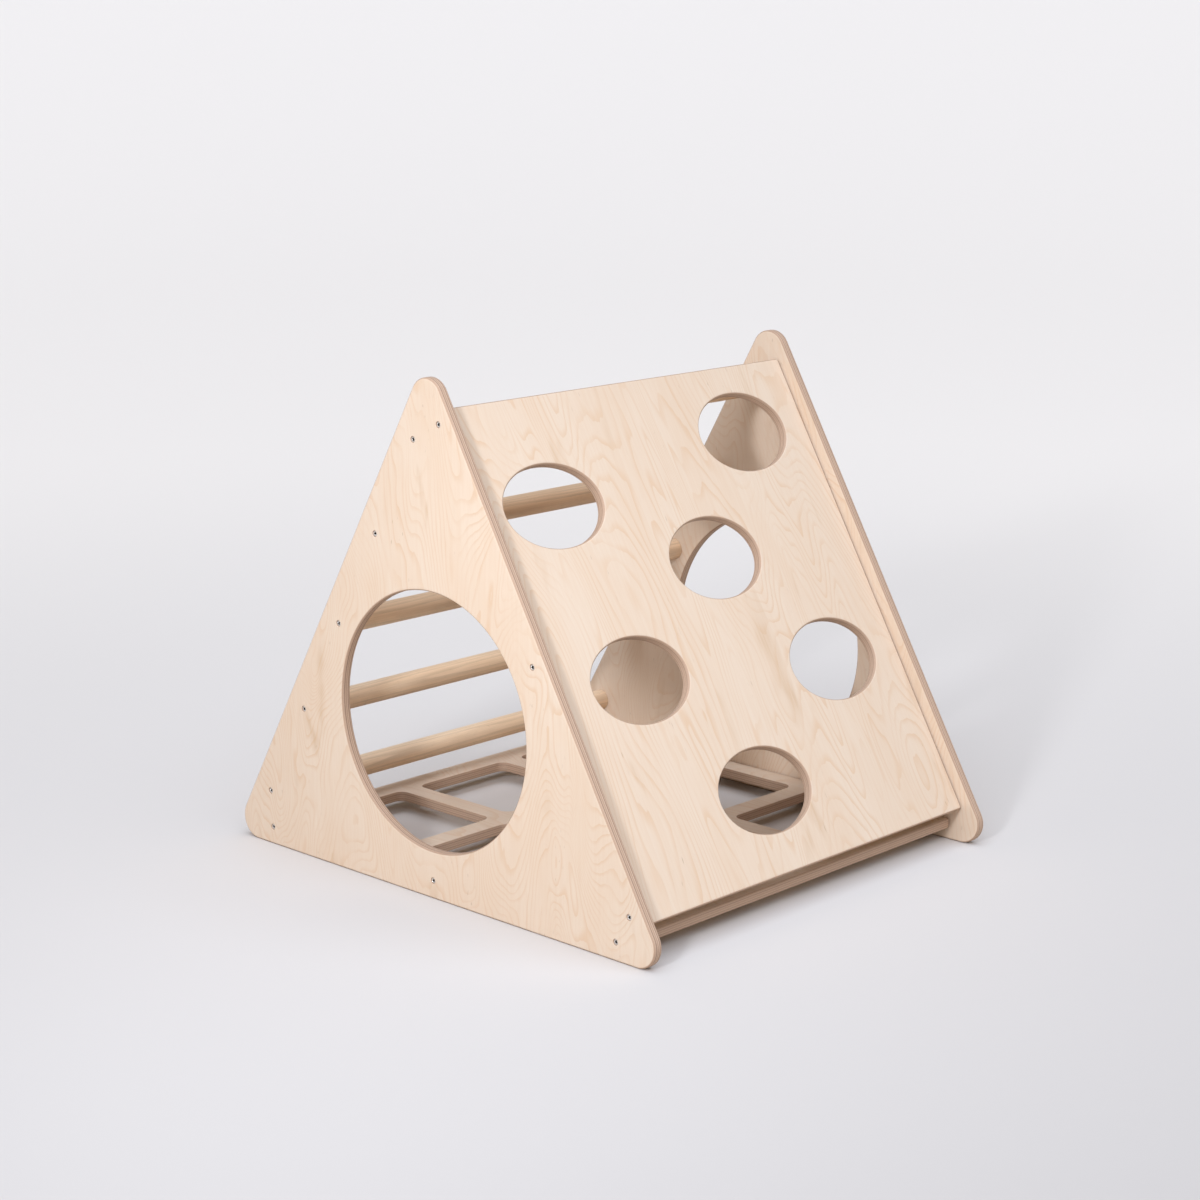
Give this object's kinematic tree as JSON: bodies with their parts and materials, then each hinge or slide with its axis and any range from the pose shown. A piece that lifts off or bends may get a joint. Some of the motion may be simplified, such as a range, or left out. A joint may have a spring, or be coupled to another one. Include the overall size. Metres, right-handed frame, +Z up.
{
  "type": "toddler climbing triangle",
  "caption": "Low triangular climbing frame: plywood sides with a round crawl-through, a ladder of round rungs on one slope, a board with oval holds on the other, and a gridded base.",
  "frame": {"origin": "centre of the footprint, on the floor", "axes": "+X towards the climbing board, +Y along the rungs towards the right side panel, +Z up"},
  "size_m": [0.8062, 0.7, 0.7061],
  "materials": {
    "birch_ply": "pale birch plywood, clear satin lacquer, rounded edges with the plies showing",
    "rung_wood": "turned solid hardwood, sanded smooth, thin clear lacquer",
    "zinc_steel": "bright zinc-plated screw with a darker cross recess"
  },
  "bodies": {
    "root": {"side_panel_left": "birch_ply", "side_panel_right": "birch_ply", "climbing_board": "birch_ply", "base_panel": "birch_ply", "rung_1": "rung_wood", "rung_2": "rung_wood", "rung_3": "rung_wood", "rung_4": "rung_wood", "rung_5": "rung_wood", "rung_screw_left_1": "zinc_steel", "rung_screw_left_2": "zinc_steel", "rung_screw_left_3": "zinc_steel", "rung_screw_left_4": "zinc_steel", "rung_screw_left_5": "zinc_steel", "rung_screw_right_1": "zinc_steel", "rung_screw_right_2": "zinc_steel", "rung_screw_right_3": "zinc_steel", "rung_screw_right_4": "zinc_steel", "rung_screw_right_5": "zinc_steel", "board_screw_left_1": "zinc_steel", "board_screw_left_2": "zinc_steel", "board_screw_left_3": "zinc_steel", "board_screw_right_1": "zinc_steel", "board_screw_right_2": "zinc_steel", "board_screw_right_3": "zinc_steel", "base_screw_left_1": "zinc_steel", "base_screw_left_2": "zinc_steel", "base_screw_left_3": "zinc_steel", "base_screw_right_1": "zinc_steel", "base_screw_right_2": "zinc_steel", "base_screw_right_3": "zinc_steel"}
  },
  "joints": []
}
